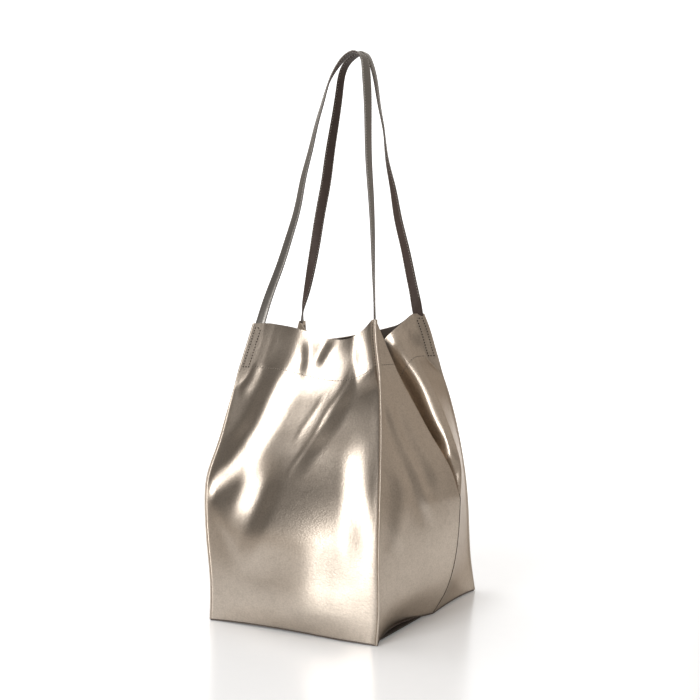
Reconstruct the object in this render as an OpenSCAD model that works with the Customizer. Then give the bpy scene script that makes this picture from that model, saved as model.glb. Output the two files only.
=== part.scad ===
// Trapeze bag: an open leather tote with a flat base, leaning sides, folded gussets and two thin straps.
// The origin is the middle of the base on the floor, +X runs right along the front, +Z is up.

/* [Base] */
// Width of the base along its front edge
base_w = 190; // [160:1:220]
// Depth of the base from front to back
base_d = 240; // [200:1:280]
// Radius of the base's corners
base_r = 3; // [1:0.5:8]
// Thickness of the base leather
base_t = 1.4; // [1:0.1:2]
// Thickness of the stiffener that lies on the base
board_t = 1.8; // [1:0.1:3]
// Space between the stiffener and the walls
board_gap = 4; // [3:0.5:8]

/* [Body] */
// Height of the four mouth corners above the floor
body_h = 302; // [270:1:330]
// Distance between the left and right mouth corners
mouth_w = 142; // [120:1:160]
// Distance between the front and back mouth corners
mouth_d = 100; // [90:1:120]
// How far the mouth sits to the left of the base's middle
mouth_shift = 13; // [0:1:15]
// How far the middle of the front and back rims hangs below the corners
rim_dip = 20; // [10:1:26]
// How far the middle of the front and back rims sinks into the bag
rim_sink = 18; // [8:1:22]
// How far the front and back panels swell outwards at half height
belly = 4; // [0:0.5:8]
// How far the corner seams swell outwards at half height
corner_swell = 3; // [0:0.5:6]

/* [Gussets] */
// Height of the knee, where the folded part of a gusset ends
knee_h = 126; // [100:1:150]
// How far the knee stands out beyond the base's side
knee_out = 31; // [15:1:40]
// How far a gusset's fold reaches in from the mouth corners
fold_reach = 53; // [35:1:56]
// How far the fold's rim hangs below the mouth corners
fold_dip = 52; // [35:1:65]

/* [Leather] */
// Thickness of the panels
skin_t = 1.2; // [0.8:0.1:1.6]
// Thickness of the facing inside the rim
facing_t = 0.8; // [0.5:0.1:1.2]
// Depth of the facing and of the sewn strap ends
hem_h = 45; // [35:1:55]

/* [Seams] */
// Diameter of the cords that cover the corner and base seams
welt_d = 2.6; // [2:0.1:3.5]
// Width of the leather caught in a corner seam
seam_w = 2; // [1.5:0.1:4]

/* [Straps] */
// Width of the straps
strap_w = 11; // [8:0.5:14]
// Thickness of a strap's face leather
strap_t = 1; // [0.7:0.1:1.5]
// Thickness of a strap's lining
lining_t = 0.8; // [0.5:0.1:1.2]
// Height of the straps' tops above the mouth corners
strap_drop = 280; // [220:1:340]
// How far the sewn strap ends stand up from the mouth corners
stub_h = 12; // [11:0.5:16]
// How far the straps' tops sit to the right of the mouth's middle
strap_lean = 24; // [0:1:26]

/* [Hidden] */

LEFT = -1;
RIGHT = 1;
FRONT = -1;
BACK = 1;

// Clearances between stacked layers of leather
layer_gap = 0.15;
seam_gap = 0.3;
floor_gap = 0.3;
centre_gap = 0.6;
strap_gap = 0.5;
root_gap = 0.5;

// The walls stand just above the base leather, with their outer faces inside its edge
wall_z = base_t + floor_gap;
wall_h = body_h - wall_z;
wall_in = (seam_gap + skin_t) * cos(45);

// Height fractions of the knee and the hem line, and of every row of the wall grids
knee_f = (knee_h - wall_z) / wall_h;
hem_f = 1 - hem_h / wall_h;
low_rows = 5;
mid_rows = 6;
hem_rows = 2;
rows = [
    for (i = [0:low_rows]) knee_f * i / low_rows,
    for (i = [1:mid_rows]) mix(knee_f, hem_f, i / mid_rows),
    for (i = [1:hem_rows]) mix(hem_f, 1, i / hem_rows)
];
hem_row = low_rows + mid_rows;
top_row = len(rows) - 1;
panel_cols = [0, 0.04, 0.15, 0.25, 0.35, 0.5, 0.65, 0.75, 0.85, 0.96, 1];
fold_cols = mid_rows + hem_rows;

// The walls are upright to this height fraction and lean in above it
lean_from = 0.31;
// The rims sink from this height fraction upwards
sink_from = 0.35;
// Turn of the pinched mouth corners towards the front and the back, from 45 degrees at the base
pinch_turn = 15;
// Height over which a pinched corner fades into a plain seam
pinch_fade = 22;
// Outward bow of the crease between a knee and its mouth corner
crease_bow = 3;

end_t = strap_t + lining_t;
pinch_w = strap_w + 2;
// The straps hinge a little above the sewn ends, and reach down below their hinge line
strap_reach = 2.5;
pivot_z = body_h + stub_h + root_gap + strap_reach;
apex_x = strap_lean - mouth_shift;
// Shape of one strap leg: share of the way across to the top, and share of the way up
leg_shape = [[0, 0], [0.25, 0.31], [0.5, 0.64], [0.64, 0.83], [0.8, 0.95], [1, 1]];
leg_steps = 4;
twist_rows = 4;
welt_sides = 8;

// Small helpers
function mix(a, b, t) = a + (b - a) * t;
function unit(v) = v / norm(v);
function clamp(t) = max(0, min(1, t));
function ramp(t) = let (c = clamp(t)) c * c * (3 - 2 * c);
function reverse(v) = [for (i = [len(v) - 1:-1:0]) v[i]];
function slice(v, first, last) = [for (i = [first:last]) v[i]];
function flat(lists) = [for (list = lists) each list];

// Closing of the walls towards the mouth, 0 at the base and 1 at the mouth corners
function closing(h) =
    let (t = clamp((h - lean_from) / (1 - lean_from)))
    (pow(sin(90 * t), 2) + pow(t, 1.3)) / 2;

// Outer edge of a corner seam at height fraction h
function corner(sx, sy, h) =
    let (
        c = closing(h),
        mouth_x = sx * mouth_w / 2 - mouth_shift
    )
    [
        mix(sx * (base_w / 2 - wall_in), mouth_x, pow(c, 1.4)) + sx * corner_swell * sin(180 * h),
        mix(sy * (base_d / 2 - wall_in), sy * mouth_d / 2, c),
        mix(wall_z, body_h, h)
    ];

// Direction from a corner seam into the bag, and across the seam towards the front or back panel
function inward(sx, sy, h) = let (a = 45 + pinch_turn * h) [-sx * cos(a), -sy * sin(a), 0];
function across(sx, sy, h) = let (a = 45 + pinch_turn * h) [-sx * sin(a), sy * cos(a), 0];

// A corner is pinched flat round the strap end down to the hem line, then narrows to a plain seam
function pinch(h) = ramp(1 + (h - hem_f) * wall_h / pinch_fade);
function pinch_depth(h) = mix(seam_w, pinch_w, pinch(h));
function pinch_half(h) = mix(seam_gap, end_t / 2 + seam_gap, pinch(h));

// Outer edge of a panel at a corner (deep = 0) and where it leaves the pinch (deep = 1);
// side is 1 for the front or back panel and -1 for the gusset
function edge(sx, sy, h, side, deep) =
    corner(sx, sy, h)
    + deep * pinch_depth(h) * inward(sx, sy, h)
    + side * (pinch_half(h) + skin_t) * across(sx, sy, h);

// One row of the front or back panel, from left to right
function panel_row(sy, h) =
    let (
        left = edge(LEFT, sy, h, 1, 1),
        right = edge(RIGHT, sy, h, 1, 1),
        sag = pow(clamp((h - sink_from) / (1 - sink_from)), 1.3)
    )
    [
        edge(LEFT, sy, h, 1, 0),
        for (u = panel_cols)
            mix(left, right, u)
            + sin(180 * u) * [0, sy * (belly * sin(180 * h) - rim_sink * sag), -rim_dip * sag],
        edge(RIGHT, sy, h, 1, 0)
    ];

// Points that shape a gusset: its knee, the rim of its fold and the inner edge of its pinched corner
function knee(sx, sy) = [sx * (base_w / 2 + knee_out), sy * centre_gap, knee_h];
function fold_rim(sx, sy) = [sx * (mouth_w / 2 - fold_reach) - mouth_shift, sy * centre_gap, body_h - fold_dip];
function pinch_end(sx, sy) = edge(sx, sy, 1, -1, 1);

// Centre seam of a gusset at row j: out to the knee, then in along the fold
function centre_seam(sx, sy, j) =
    j <= low_rows
    ? let (q = j / low_rows)
      [
          sx * mix(base_w / 2 - wall_in, base_w / 2 + knee_out, 1 - pow(1 - q, 2)),
          sy * centre_gap,
          mix(wall_z, knee_h, q)
      ]
    : mix(knee(sx, sy), fold_rim(sx, sy), above_knee(j));

// Share of the way from the knee to the rim at row j
function above_knee(j) = (rows[j] - knee_f) / (1 - knee_f);

// Crease from the knee to the pinched corner at row j
function crease(sx, sy, j) =
    let (q = above_knee(j))
    mix(knee(sx, sy), pinch_end(sx, sy), q) + [sx * crease_bow * sin(180 * q), 0, 0];

// One row of a gusset half, from its corner to the centre seam; above the knee it bends at the crease
function gusset_row(sx, sy, j) =
    let (
        start = edge(sx, sy, rows[j], -1, 1),
        finish = centre_seam(sx, sy, j),
        bend = fold_cols - max(0, j - low_rows)
    )
    [
        edge(sx, sy, rows[j], -1, 0),
        for (i = [0:fold_cols])
            j <= low_rows ? mix(start, finish, i / fold_cols)
            : i < bend ? mix(start, crease(sx, sy, j), i / bend)
            : mix(crease(sx, sy, j), finish, (i - bend) / (fold_cols - bend))
    ];

// Grids of points on the outside of the walls, with their columns ordered so that they face outwards
function panel_grid(sy) = [
    for (h = rows) sy == FRONT ? panel_row(sy, h) : reverse(panel_row(sy, h))
];
function gusset_grid(sx, sy) = [
    for (j = [0:top_row]) sx * sy < 0 ? gusset_row(sx, sy, j) : reverse(gusset_row(sx, sy, j))
];

// The same grid moved inwards by d along its normals
function inset(grid, d) =
    let (
        last_row = len(grid) - 1,
        last_col = len(grid[0]) - 1
    )
    [
        for (j = [0:last_row]) [
            for (i = [0:last_col])
                let (
                    along = grid[j][min(i + 1, last_col)] - grid[j][max(i - 1, 0)],
                    up = grid[min(j + 1, last_row)][i] - grid[max(j - 1, 0)][i]
                )
                grid[j][i] - d * unit(cross(along, up))
        ]
    ];

// The part of a grid above the hem line, without as many columns as skip says at its first and last side
function hem_part(grid, skip) = [
    for (row = slice(grid, hem_row, top_row)) slice(row, skip[0], len(row) - 1 - skip[1])
];

function corners_to_triangles(a, b, c, d) = [[a, b, c], [a, c, d]];

// Closed sheet between an outer and an inner grid; tilt turns the diagonals of its cells
module sheet(outer, inner, tilt = false) {
    nr = len(outer);
    nc = len(outer[0]);
    under = nr * nc;
    cells = [
        for (j = [0:nr - 2], i = [0:nc - 2])
            let (
                a = j * nc + i,
                b = a + 1,
                c = b + nc,
                d = a + nc
            )
            each tilt
                ? [[a, d, b], [b, d, c], [under + a, under + b, under + d], [under + b, under + c, under + d]]
                : [[a, d, c], [a, c, b], [under + a, under + c, under + d], [under + a, under + b, under + c]]
    ];
    top = (nr - 1) * nc;
    ends = [
        for (i = [0:nc - 2]) each [
            each corners_to_triangles(i, i + 1, under + i + 1, under + i),
            each corners_to_triangles(top + i + 1, top + i, under + top + i, under + top + i + 1)
        ]
    ];
    sides = [
        for (j = [0:nr - 2])
            let (
                a = j * nc,
                b = a + nc - 1
            )
            each [
                each corners_to_triangles(a + nc, a, under + a, under + a + nc),
                each corners_to_triangles(b, b + nc, under + b + nc, under + b)
            ]
    ];
    polyhedron(concat(flat(outer), flat(inner)), concat(cells, ends, sides));
}

// Closed tube through a list of rings, each of them counter-clockwise when seen from the tube's end
module tube(rings) {
    n = len(rings[0]);
    last = (len(rings) - 1) * n;
    walls = [
        for (k = [0:len(rings) - 2], m = [0:n - 1])
            let (
                a = k * n + m,
                b = k * n + (m + 1) % n
            )
            each corners_to_triangles(a, a + n, b + n, b)
    ];
    caps = [[for (m = [0:n - 1]) m], reverse([for (m = [0:n - 1]) last + m])];
    polyhedron(flat(rings), concat(walls, caps));
}

module leather() {
    color([0.62, 0.57, 0.51]) children();
}

module suede() {
    color([0.25, 0.20, 0.18]) children();
}

module wall_panel(sy) {
    grid = panel_grid(sy);
    leather() sheet(grid, inset(grid, skin_t));
}

module gusset_half(sx, sy) {
    grid = gusset_grid(sx, sy);
    leather() sheet(grid, inset(grid, skin_t), sx * sy < 0);
}

// Facing strips lie inside the walls, from the hem line up to the rim, clear of the pinched corners
module facing(grid, skip, tilt) {
    outside = skin_t + layer_gap;
    leather() sheet(
        hem_part(inset(grid, outside), skip),
        hem_part(inset(grid, outside + facing_t), skip),
        tilt
    );
}

module wall_facing(sy) {
    facing(panel_grid(sy), [2, 2], false);
}

module gusset_facing(sx, sy) {
    facing(gusset_grid(sx, sy), sx * sy < 0 ? [2, 0] : [0, 2], sx * sy < 0);
}

// Outline of the base, moved outwards by grow
module base_outline(grow) {
    r = max(base_r + grow, 1);
    w = base_w + 2 * grow;
    d = base_d + 2 * grow;
    square([w - 2 * r, d], center = true);
    square([w, d - 2 * r], center = true);
    for (sx = [LEFT, RIGHT], sy = [FRONT, BACK])
        translate([sx * (w / 2 - r), sy * (d / 2 - r)]) circle(r, $fn = 32);
}

module base_panel() {
    leather() linear_extrude(base_t) base_outline(0);
}

module base_board() {
    suede() translate([0, 0, wall_z]) linear_extrude(board_t) base_outline(-board_gap);
}

// Cord round the base seam, flat on the base's edge
module base_welt() {
    leather() translate([0, 0, floor_gap]) linear_extrude(welt_d) difference() {
        base_outline(seam_gap + welt_d);
        base_outline(seam_gap);
    }
}

// Cord along the outer edge of a corner seam, standing on the base's cord
module corner_welt(sx, sy) {
    r = welt_d / 2;
    foot = (welt_d + 2 * floor_gap - wall_z) / wall_h;
    heights = [foot, for (j = [1:top_row]) rows[j]];
    leather() tube([
        for (h = heights)
            let (
                out = -inward(sx, sy, h),
                side = [-out.y, out.x, 0],
                centre = corner(sx, sy, h) + (r + seam_gap) * out
            )
            [for (m = [0:welt_sides - 1]) let (a = 360 * m / welt_sides) centre + r * (cos(a) * out + sin(a) * side)]
    ]);
}

// Middle of the pinched corner at height fraction h
function pinch_middle(sx, sy, h) = corner(sx, sy, h) + pinch_w / 2 * inward(sx, sy, h);

// Sewn end of a strap, between the panel and the gusset, with a stub above the rim
module strap_end(sx, sy) {
    rim = pinch_middle(sx, sy, 1);
    // Each level is a place and the angle of the strap end there: in line with the pinch up to the rim,
    // then turning until it faces the front or back, as the strap above it does
    levels = [
        for (h = slice(rows, hem_row, top_row)) [pinch_middle(sx, sy, h), 45 + pinch_turn * h],
        for (k = [1:twist_rows])
            let (q = k / twist_rows)
            [rim + [0, 0, q * stub_h], mix(45 + pinch_turn, 0, ramp(q))]
    ];
    suede() tube([
        for (level = levels)
            let (
                wide = [sx * sy * cos(level[1]), sin(level[1]), 0],
                side = [-wide.y, wide.x, 0]
            )
            [
                for (s = [[1, 1], [-1, 1], [-1, -1], [1, -1]])
                    level[0] + s.x * strap_w / 2 * wide + s.y * end_t / 2 * side
            ]
    ]);
}

// Straps: where they hinge, their tops, and the points of their centre line from left to right
function strap_root(sx, sy) = let (p = pinch_middle(sx, sy, 1)) [p.x, p.y, pivot_z];
function strap_top(sy) = [apex_x, sy * (strap_w / 2 + strap_gap), body_h + strap_drop];
function leg_point(sx, sy, s) =
    let (
        root = strap_root(sx, sy),
        top = strap_top(sy)
    )
    [mix(root.x, top.x, s[0]), mix(root.y, top.y, s[1]), mix(root.z, top.z, s[1])];
function strap_route(sy) = concat(
    [for (s = leg_shape) leg_point(LEFT, sy, s)],
    [for (i = [len(leg_shape) - 2:-1:0]) leg_point(RIGHT, sy, leg_shape[i])]
);

// Smooth curve through points a, b, c and d, between b and c
function spline(a, b, c, d, t) =
    0.5 * (2 * b + (c - a) * t + (2 * a - 5 * b + 4 * c - d) * t * t + (3 * b - a - 3 * c + d) * t * t * t);
function smooth_route(p) =
    let (n = len(p) - 1)
    [
        for (k = [0:n - 1], s = [0:leg_steps - 1])
            spline(
                k > 0 ? p[k - 1] : 2 * p[0] - p[1], p[k], p[k + 1],
                k < n - 1 ? p[k + 2] : 2 * p[n] - p[n - 1], s / leg_steps
            ),
        p[n]
    ];

// Direction across a strap at share t of its length: along the front at both ends and square to it on top
function strap_across(sy, t) = [sy * cos(180 * t), sin(180 * t), 0];

// Edges of a strap, moved by lift from its centre surface; the face side is the upper one on top.
// Both ends are cut straight, in line with the hinge, a little below it
function strap_edges(sy, lift) =
    let (
        route = smooth_route(strap_route(sy)),
        n = len(route) - 1,
        ends = [
            for (k = [0, n])
                let (
                    centre = route[k] + [0, sy * lift, -strap_reach],
                    side = strap_w / 2 * strap_across(sy, k / n)
                )
                [centre + side, centre - side]
        ]
    )
    [
        ends[0],
        for (k = [0:n])
            let (
                way = unit(route[min(k + 1, n)] - route[max(k - 1, 0)]),
                level = strap_across(sy, k / n),
                side = strap_w / 2 * unit(level - (level * way) * way),
                centre = route[k] + lift * unit(cross(way, side))
            )
            [centre + side, centre - side],
        ends[1]
    ];

module strap_face(sy) {
    leather() sheet(strap_edges(sy, layer_gap / 2 + strap_t), strap_edges(sy, layer_gap / 2));
}

module strap_lining(sy) {
    suede() sheet(strap_edges(sy, -layer_gap / 2), strap_edges(sy, -layer_gap / 2 - lining_t));
}

wall_panel(FRONT);  // front_panel
wall_panel(BACK);  // back_panel
gusset_half(RIGHT, FRONT);  // right_gusset_front
gusset_half(RIGHT, BACK);  // right_gusset_back
gusset_half(LEFT, FRONT);  // left_gusset_front
gusset_half(LEFT, BACK);  // left_gusset_back
base_panel();
base_board();
base_welt();
corner_welt(LEFT, FRONT);  // front_left_welt
corner_welt(RIGHT, FRONT);  // front_right_welt
corner_welt(LEFT, BACK);  // back_left_welt
corner_welt(RIGHT, BACK);  // back_right_welt
wall_facing(FRONT);  // front_facing
wall_facing(BACK);  // back_facing
gusset_facing(RIGHT, FRONT);  // right_facing_front
gusset_facing(RIGHT, BACK);  // right_facing_back
gusset_facing(LEFT, FRONT);  // left_facing_front
gusset_facing(LEFT, BACK);  // left_facing_back
strap_end(LEFT, FRONT);  // front_left_strap_end
strap_end(RIGHT, FRONT);  // front_right_strap_end
strap_end(LEFT, BACK);  // back_left_strap_end
strap_end(RIGHT, BACK);  // back_right_strap_end
strap_face(FRONT);  // front_strap
strap_lining(FRONT);  // front_strap_lining
strap_face(BACK);  // back_strap
strap_lining(BACK);  // back_strap_lining
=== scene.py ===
"""Trapeze bag: metallic leather panels, folded gussets, seams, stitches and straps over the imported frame.

Sizes and places in the dataclasses are millimetres in the frame's axes; a mesh is metres.
"""

from __future__ import annotations

import logging
import math
from dataclasses import dataclass
from enum import Enum
from functools import cached_property
from typing import Sequence

import bpy
import numpy as np
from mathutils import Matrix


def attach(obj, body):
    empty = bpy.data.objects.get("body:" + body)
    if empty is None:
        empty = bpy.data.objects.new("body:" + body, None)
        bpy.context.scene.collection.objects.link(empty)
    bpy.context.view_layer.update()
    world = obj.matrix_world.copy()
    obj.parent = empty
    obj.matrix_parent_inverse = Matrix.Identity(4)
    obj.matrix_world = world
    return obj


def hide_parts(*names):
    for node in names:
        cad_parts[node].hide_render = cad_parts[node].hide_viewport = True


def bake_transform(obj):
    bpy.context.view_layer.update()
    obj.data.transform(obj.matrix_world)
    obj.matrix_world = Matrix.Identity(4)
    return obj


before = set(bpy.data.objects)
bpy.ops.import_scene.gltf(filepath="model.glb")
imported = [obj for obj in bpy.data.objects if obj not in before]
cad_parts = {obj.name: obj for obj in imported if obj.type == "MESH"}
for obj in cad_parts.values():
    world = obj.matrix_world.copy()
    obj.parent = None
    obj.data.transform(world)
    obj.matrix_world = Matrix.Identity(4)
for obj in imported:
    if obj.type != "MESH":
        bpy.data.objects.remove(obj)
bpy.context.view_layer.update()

LOG = logging.getLogger("bag")
MM = 0.001
SHEET_CREASE = 40.0
TUBE_CREASE = 50.0
PLACE_DIGITS = 4
Array = np.ndarray
Point = tuple[float, float, float]
Line = tuple[Array, Array]
Piece = bpy.types.Object
Material = bpy.types.Material
Socket = bpy.types.NodeSocket


class Side(Enum):
    """Left or right of the bag, seen from the front."""

    LEFT = -1
    RIGHT = 1


class End(Enum):
    """Front or back of the bag."""

    FRONT = -1
    BACK = 1


class Cover(Enum):
    """The wall on one or the other side of a corner seam."""

    PANEL = 1
    GUSSET = -1


# Shape helpers


def soft_step(t: Array | float) -> Array:
    """0 below 0, 1 above 1, and a smooth step between."""
    c = np.clip(t, 0.0, 1.0)
    return c * c * (3.0 - 2.0 * c)


def unit(v: Array) -> Array:
    """Vectors of the last axis at length 1."""
    return v / np.maximum(np.linalg.norm(v, axis=-1, keepdims=True), 1e-9)


def plan_direction(degrees: Array | float) -> Array:
    """Level direction at an angle from +X, counter-clockwise seen from above."""
    a = np.radians(np.asarray(degrees, float))
    return np.stack([np.cos(a), np.sin(a), np.zeros_like(a)], axis=-1)


def towards(around: float, above: float) -> Point:
    """Direction at an angle from +X and one above the floor, in degrees."""
    a, b = math.radians(around), math.radians(above)
    return math.cos(a) * math.cos(b), math.sin(a) * math.cos(b), math.sin(b)


class Spline:
    """Natural cubic curve through values at rising stations."""

    def __init__(self, stations: Sequence[float], values: Sequence[Sequence[float]]) -> None:
        """Solves the curve.

        Args:
            stations: where the values are, rising.
            values: one row of numbers for each station.
        """
        self.stations = np.asarray(stations, float)
        self.values = np.asarray(values, float).reshape(len(self.stations), -1)
        count = len(self.stations)
        step = np.diff(self.stations)[:, None]
        slope = np.diff(self.values, axis=0) / step
        system = np.eye(count)
        right = np.zeros_like(self.values)
        for i in range(1, count - 1):
            system[i, i - 1 : i + 2] = step[i - 1, 0], 2 * (step[i - 1, 0] + step[i, 0]), step[i, 0]
            right[i] = 6 * (slope[i] - slope[i - 1])
        self.bend = np.linalg.solve(system, right)

    def at(self, places: Array | float) -> Array:
        """Reads the curve.

        Args:
            places: places along it.

        Returns:
            Its values there, one row each.
        """
        t = np.atleast_1d(np.asarray(places, float))
        i = np.clip(np.searchsorted(self.stations, t, side="right") - 1, 0, len(self.stations) - 2)
        h = (self.stations[i + 1] - self.stations[i])[:, None]
        a = (self.stations[i + 1][:, None] - t[:, None]) / h
        b = 1.0 - a
        bent = ((a**3 - a) * self.bend[i] + (b**3 - b) * self.bend[i + 1]) * h * h / 6
        return a * self.values[i] + b * self.values[i + 1] + bent


def lengths_along(points: Array) -> Array:
    """Distance of each point of a line from its start, along it."""
    return np.concatenate([[0.0], np.cumsum(np.linalg.norm(np.diff(points, axis=0), axis=1))])


def read_off(values: Array, along: Array, at: Array) -> Array:
    """Rows of values at the distances at, from rows at the distances along."""
    return np.stack([np.interp(at, along, column) for column in values.T], axis=1)


def curve_through(points: Sequence[Sequence[float]]) -> Spline:
    """Draws a smooth curve.

    Args:
        points: points, each with further values behind its place if it has any.

    Returns:
        The curve; its stations are distances along it, from 0 to 1.
    """
    p = np.asarray(points, float)
    along = lengths_along(p[:, :3])
    return Spline(along / along[-1], p)


def grid_normals(grid: Array) -> Array:
    """Normals of a grid of points whose rows go up and whose columns go right, as its face is seen."""
    return unit(np.cross(np.gradient(grid, axis=1), np.gradient(grid, axis=0)))


def between(source: Array, rows: Array, cols: Array) -> Array:
    """Reads a grid at fractional rows and columns.

    Args:
        source: the grid.
        rows: row of each reading.
        cols: column of each reading.

    Returns:
        One value of the grid for each reading.
    """
    j = np.clip(np.floor(rows).astype(int), 0, source.shape[0] - 2)
    i = np.clip(np.floor(cols).astype(int), 0, source.shape[1] - 2)
    t, s = (rows - j)[:, None], (cols - i)[:, None]
    low = source[j, i] * (1 - s) + source[j, i + 1] * s
    high = source[j + 1, i] * (1 - s) + source[j + 1, i + 1] * s
    return low * (1 - t) + high * t


def relaxed(grid: Array, passes: int, rows_too: bool = False) -> Array:
    """Draws a grid's inner points towards their neighbours.

    Args:
        grid: rows and columns of points.
        passes: how many times each point moves to the mean of itself and its neighbours.
        rows_too: whether the neighbours above and below count as well as those beside it.

    Returns:
        The new grid; its border stays.
    """
    out = grid
    for _ in range(passes):
        mean = out.copy()
        mean[:, 1:-1] = 0.5 * out[:, 1:-1] + 0.25 * (out[:, 2:] + out[:, :-2])
        if rows_too:
            level = mean.copy()
            mean[1:-1] = 0.5 * level[1:-1] + 0.25 * (level[2:] + level[:-2])
        out = mean
    return out


class Profile(Enum):
    """What a fold does to a wall."""

    RIDGE = "ridge"
    SLOPE = "slope"
    TURN = "turn"


RIDGE, SLOPE, TURN = Profile


@dataclass(frozen=True)
class Fold:
    """A soft fold that runs down along a path on a wall.

    A ridge stands out by its size in millimetres, and is a valley below 0. A slope tilts the wall
    towards +x on a panel and +y on a gusset by its size in degrees, and what it lifts dies out on both
    sides. A turn tilts it the same way inside its width alone, so that the wall stays high on one side
    of it and low on the other.
    """

    profile: Profile
    size: float
    width: float
    path: tuple[tuple[float, float], ...]
    fade: float = 0.25
    widen: float = 1.0
    steps: int = 33

    def field(self, across: Array, up: Array) -> Array:
        """The fold's effect at points of a wall.

        Args:
            across: level coordinate of the points, x on a panel and y on a gusset.
            up: height of the points.

        Returns:
            For a ridge or a slope, how far each point moves outwards; for a turn, its angle in degrees.
        """
        route = curve_through([(a, b, 0.0) for a, b in self.path]).at(np.linspace(0, 1, self.steps))[:, :2]
        start, step = route[:-1], np.diff(route, axis=0)
        gap = np.stack([across, up], axis=-1)[..., None, :] - start
        share = np.clip((gap * step).sum(-1) / (step**2).sum(-1), 0, 1)
        gap = gap - share[..., None] * step
        far = np.linalg.norm(gap, axis=-1)
        nearest = far.argmin(-1)[..., None]
        place = (nearest + np.take_along_axis(share, nearest, -1))[..., 0] / len(start)
        ends = soft_step(place / self.fade) * soft_step((1 - place) / self.fade)
        width = self.width * (1 + (self.widen - 1) * place)
        away = np.take_along_axis(far, nearest, -1)[..., 0]
        if self.profile is RIDGE:
            return self.size * ends * np.exp(-((away / width) ** 2))
        if self.profile is TURN:
            return self.size * ends * np.exp(-((away / width) ** 3))
        beside = gap[..., 1] * step[..., 0] - gap[..., 0] * step[..., 1]
        beside = np.take_along_axis(beside, nearest, -1)[..., 0]
        signed = away * np.sign(beside)
        return -math.tan(math.radians(self.size)) * ends * signed * np.exp(-0.5 * (signed / width) ** 2)


def fold_lift(folds: Sequence[Fold], across: Array, up: Array) -> Array:
    """How far folds move the points of a wall outwards.

    Args:
        folds: the folds.
        across: level coordinate of the points, row by row.
        up: their height.

    Returns:
        One distance for each point; what turns add starts and ends at 0 in each row.
    """
    lift, turn = np.zeros(across.shape), np.zeros(across.shape)
    for fold in folds:
        total = turn if fold.profile is TURN else lift
        total += fold.field(across, up)
    tilt = np.tan(np.radians(turn))
    fall = np.zeros(across.shape)
    fall[:, 1:] = np.cumsum(0.5 * (tilt[:, 1:] + tilt[:, :-1]) * np.diff(across, axis=1), axis=1)
    share = (across - across[:, :1]) / (across[:, -1:] - across[:, :1])
    return lift - fall + share * fall[:, -1:]


# Mesh making


class Skin(Enum):
    """Which face of a sheet takes which of its material slots."""

    FACE = 0
    FLESH = 1


class Cut(Enum):
    """How a sheet's cells are cut into faces, with corners from the lower left counter-clockwise."""

    WHOLE = ((0, 1, 2, 3),)
    FALLING = ((0, 1, 3), (1, 2, 3))
    RISING = ((0, 1, 2), (0, 2, 3))


def mesh_piece(
    name: str, points: Array, faces: Sequence[Sequence[int]], slots: Sequence[int] = ()
) -> Piece:
    """Makes an object from points in millimetres.

    Args:
        name: the piece's name.
        points: its vertices.
        faces: its faces, counter-clockwise seen from outside.
        slots: material slot of each face, or nothing for the first.

    Returns:
        The object, linked to the scene.
    """
    mesh = bpy.data.meshes.new(name)
    mesh.from_pydata((np.asarray(points).reshape(-1, 3) * MM).tolist(), [], [tuple(f) for f in faces])
    if slots:
        mesh.polygons.foreach_set("material_index", list(slots))
    mesh.polygons.foreach_set("use_smooth", [True] * len(mesh.polygons))
    mesh.update()
    piece = bpy.data.objects.new(name, mesh)
    bpy.context.scene.collection.objects.link(piece)
    return piece


def smooth_by_angle(piece: Piece, degrees: float) -> None:
    """Shades a piece smooth except at sharp edges.

    Args:
        piece: the piece.
        degrees: the angle from which an edge is sharp.
    """
    bpy.ops.object.select_all(action="DESELECT")
    piece.select_set(True)
    bpy.context.view_layer.objects.active = piece
    bpy.ops.object.shade_smooth_by_angle(angle=math.radians(degrees))
    piece.select_set(False)


def sheet_piece(name: str, outer: Array, inner: Array, cut: Cut) -> Piece:
    """Closed sheet between an outer and an inner grid.

    Args:
        name: the piece's name.
        outer: grid of its face.
        inner: grid of its flesh side, with as many rows and columns.
        cut: how its cells are cut.

    Returns:
        The object; its flesh side takes the second material slot.
    """
    rows, cols = outer.shape[:2]
    under = rows * cols
    first = (np.arange(rows - 1)[:, None] * cols + np.arange(cols - 1)).ravel()
    cells = np.stack([first, first + 1, first + cols + 1, first + cols], 1)
    face = np.concatenate([cells[:, list(corners)] for corners in cut.value])
    flesh = face[:, ::-1] + under
    index = np.arange(under).reshape(rows, cols)
    loop = np.concatenate([index[0], index[1:, -1], index[-1, -2::-1], index[-2:0:-1, 0]])
    after = np.roll(loop, -1)
    border = np.stack([after, loop, under + loop, under + after], 1)
    slots = [Skin.FACE.value] * len(face) + [Skin.FLESH.value] * len(flesh)
    slots += [Skin.FACE.value] * len(border)
    points = np.concatenate([outer.reshape(-1, 3), inner.reshape(-1, 3)])
    piece = mesh_piece(name, points, face.tolist() + flesh.tolist() + border.tolist(), slots)
    smooth_by_angle(piece, SHEET_CREASE)
    return piece


def circles(centre: Array, first: Array, second: Array, radius: Array | float, sides: int) -> Array:
    """Rings of points round a line.

    Args:
        centre: points of the line.
        first: direction of each ring's first point.
        second: direction of its point a quarter turn on.
        radius: one number, or a column with one for each ring.
        sides: points in a ring.

    Returns:
        The rings, one for each point of the line.
    """
    angles = np.arange(sides) * 2 * np.pi / sides
    points = [centre + radius * (math.cos(a) * first + math.sin(a) * second) for a in angles]
    return np.stack(points, axis=1)


def tube_faces(count: int, sides: int, closed: bool) -> list[tuple[int, ...]]:
    """Faces between rings of points.

    Args:
        count: how many rings there are.
        sides: how many points each has.
        closed: whether the last ring is joined to the first.

    Returns:
        The faces, ring by ring.
    """
    return [
        tuple(k % count * sides + m % sides for k, m in ((r, s), (r, s + 1), (r + 1, s + 1), (r + 1, s)))
        for r in range(count if closed else count - 1)
        for s in range(sides)
    ]


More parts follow.
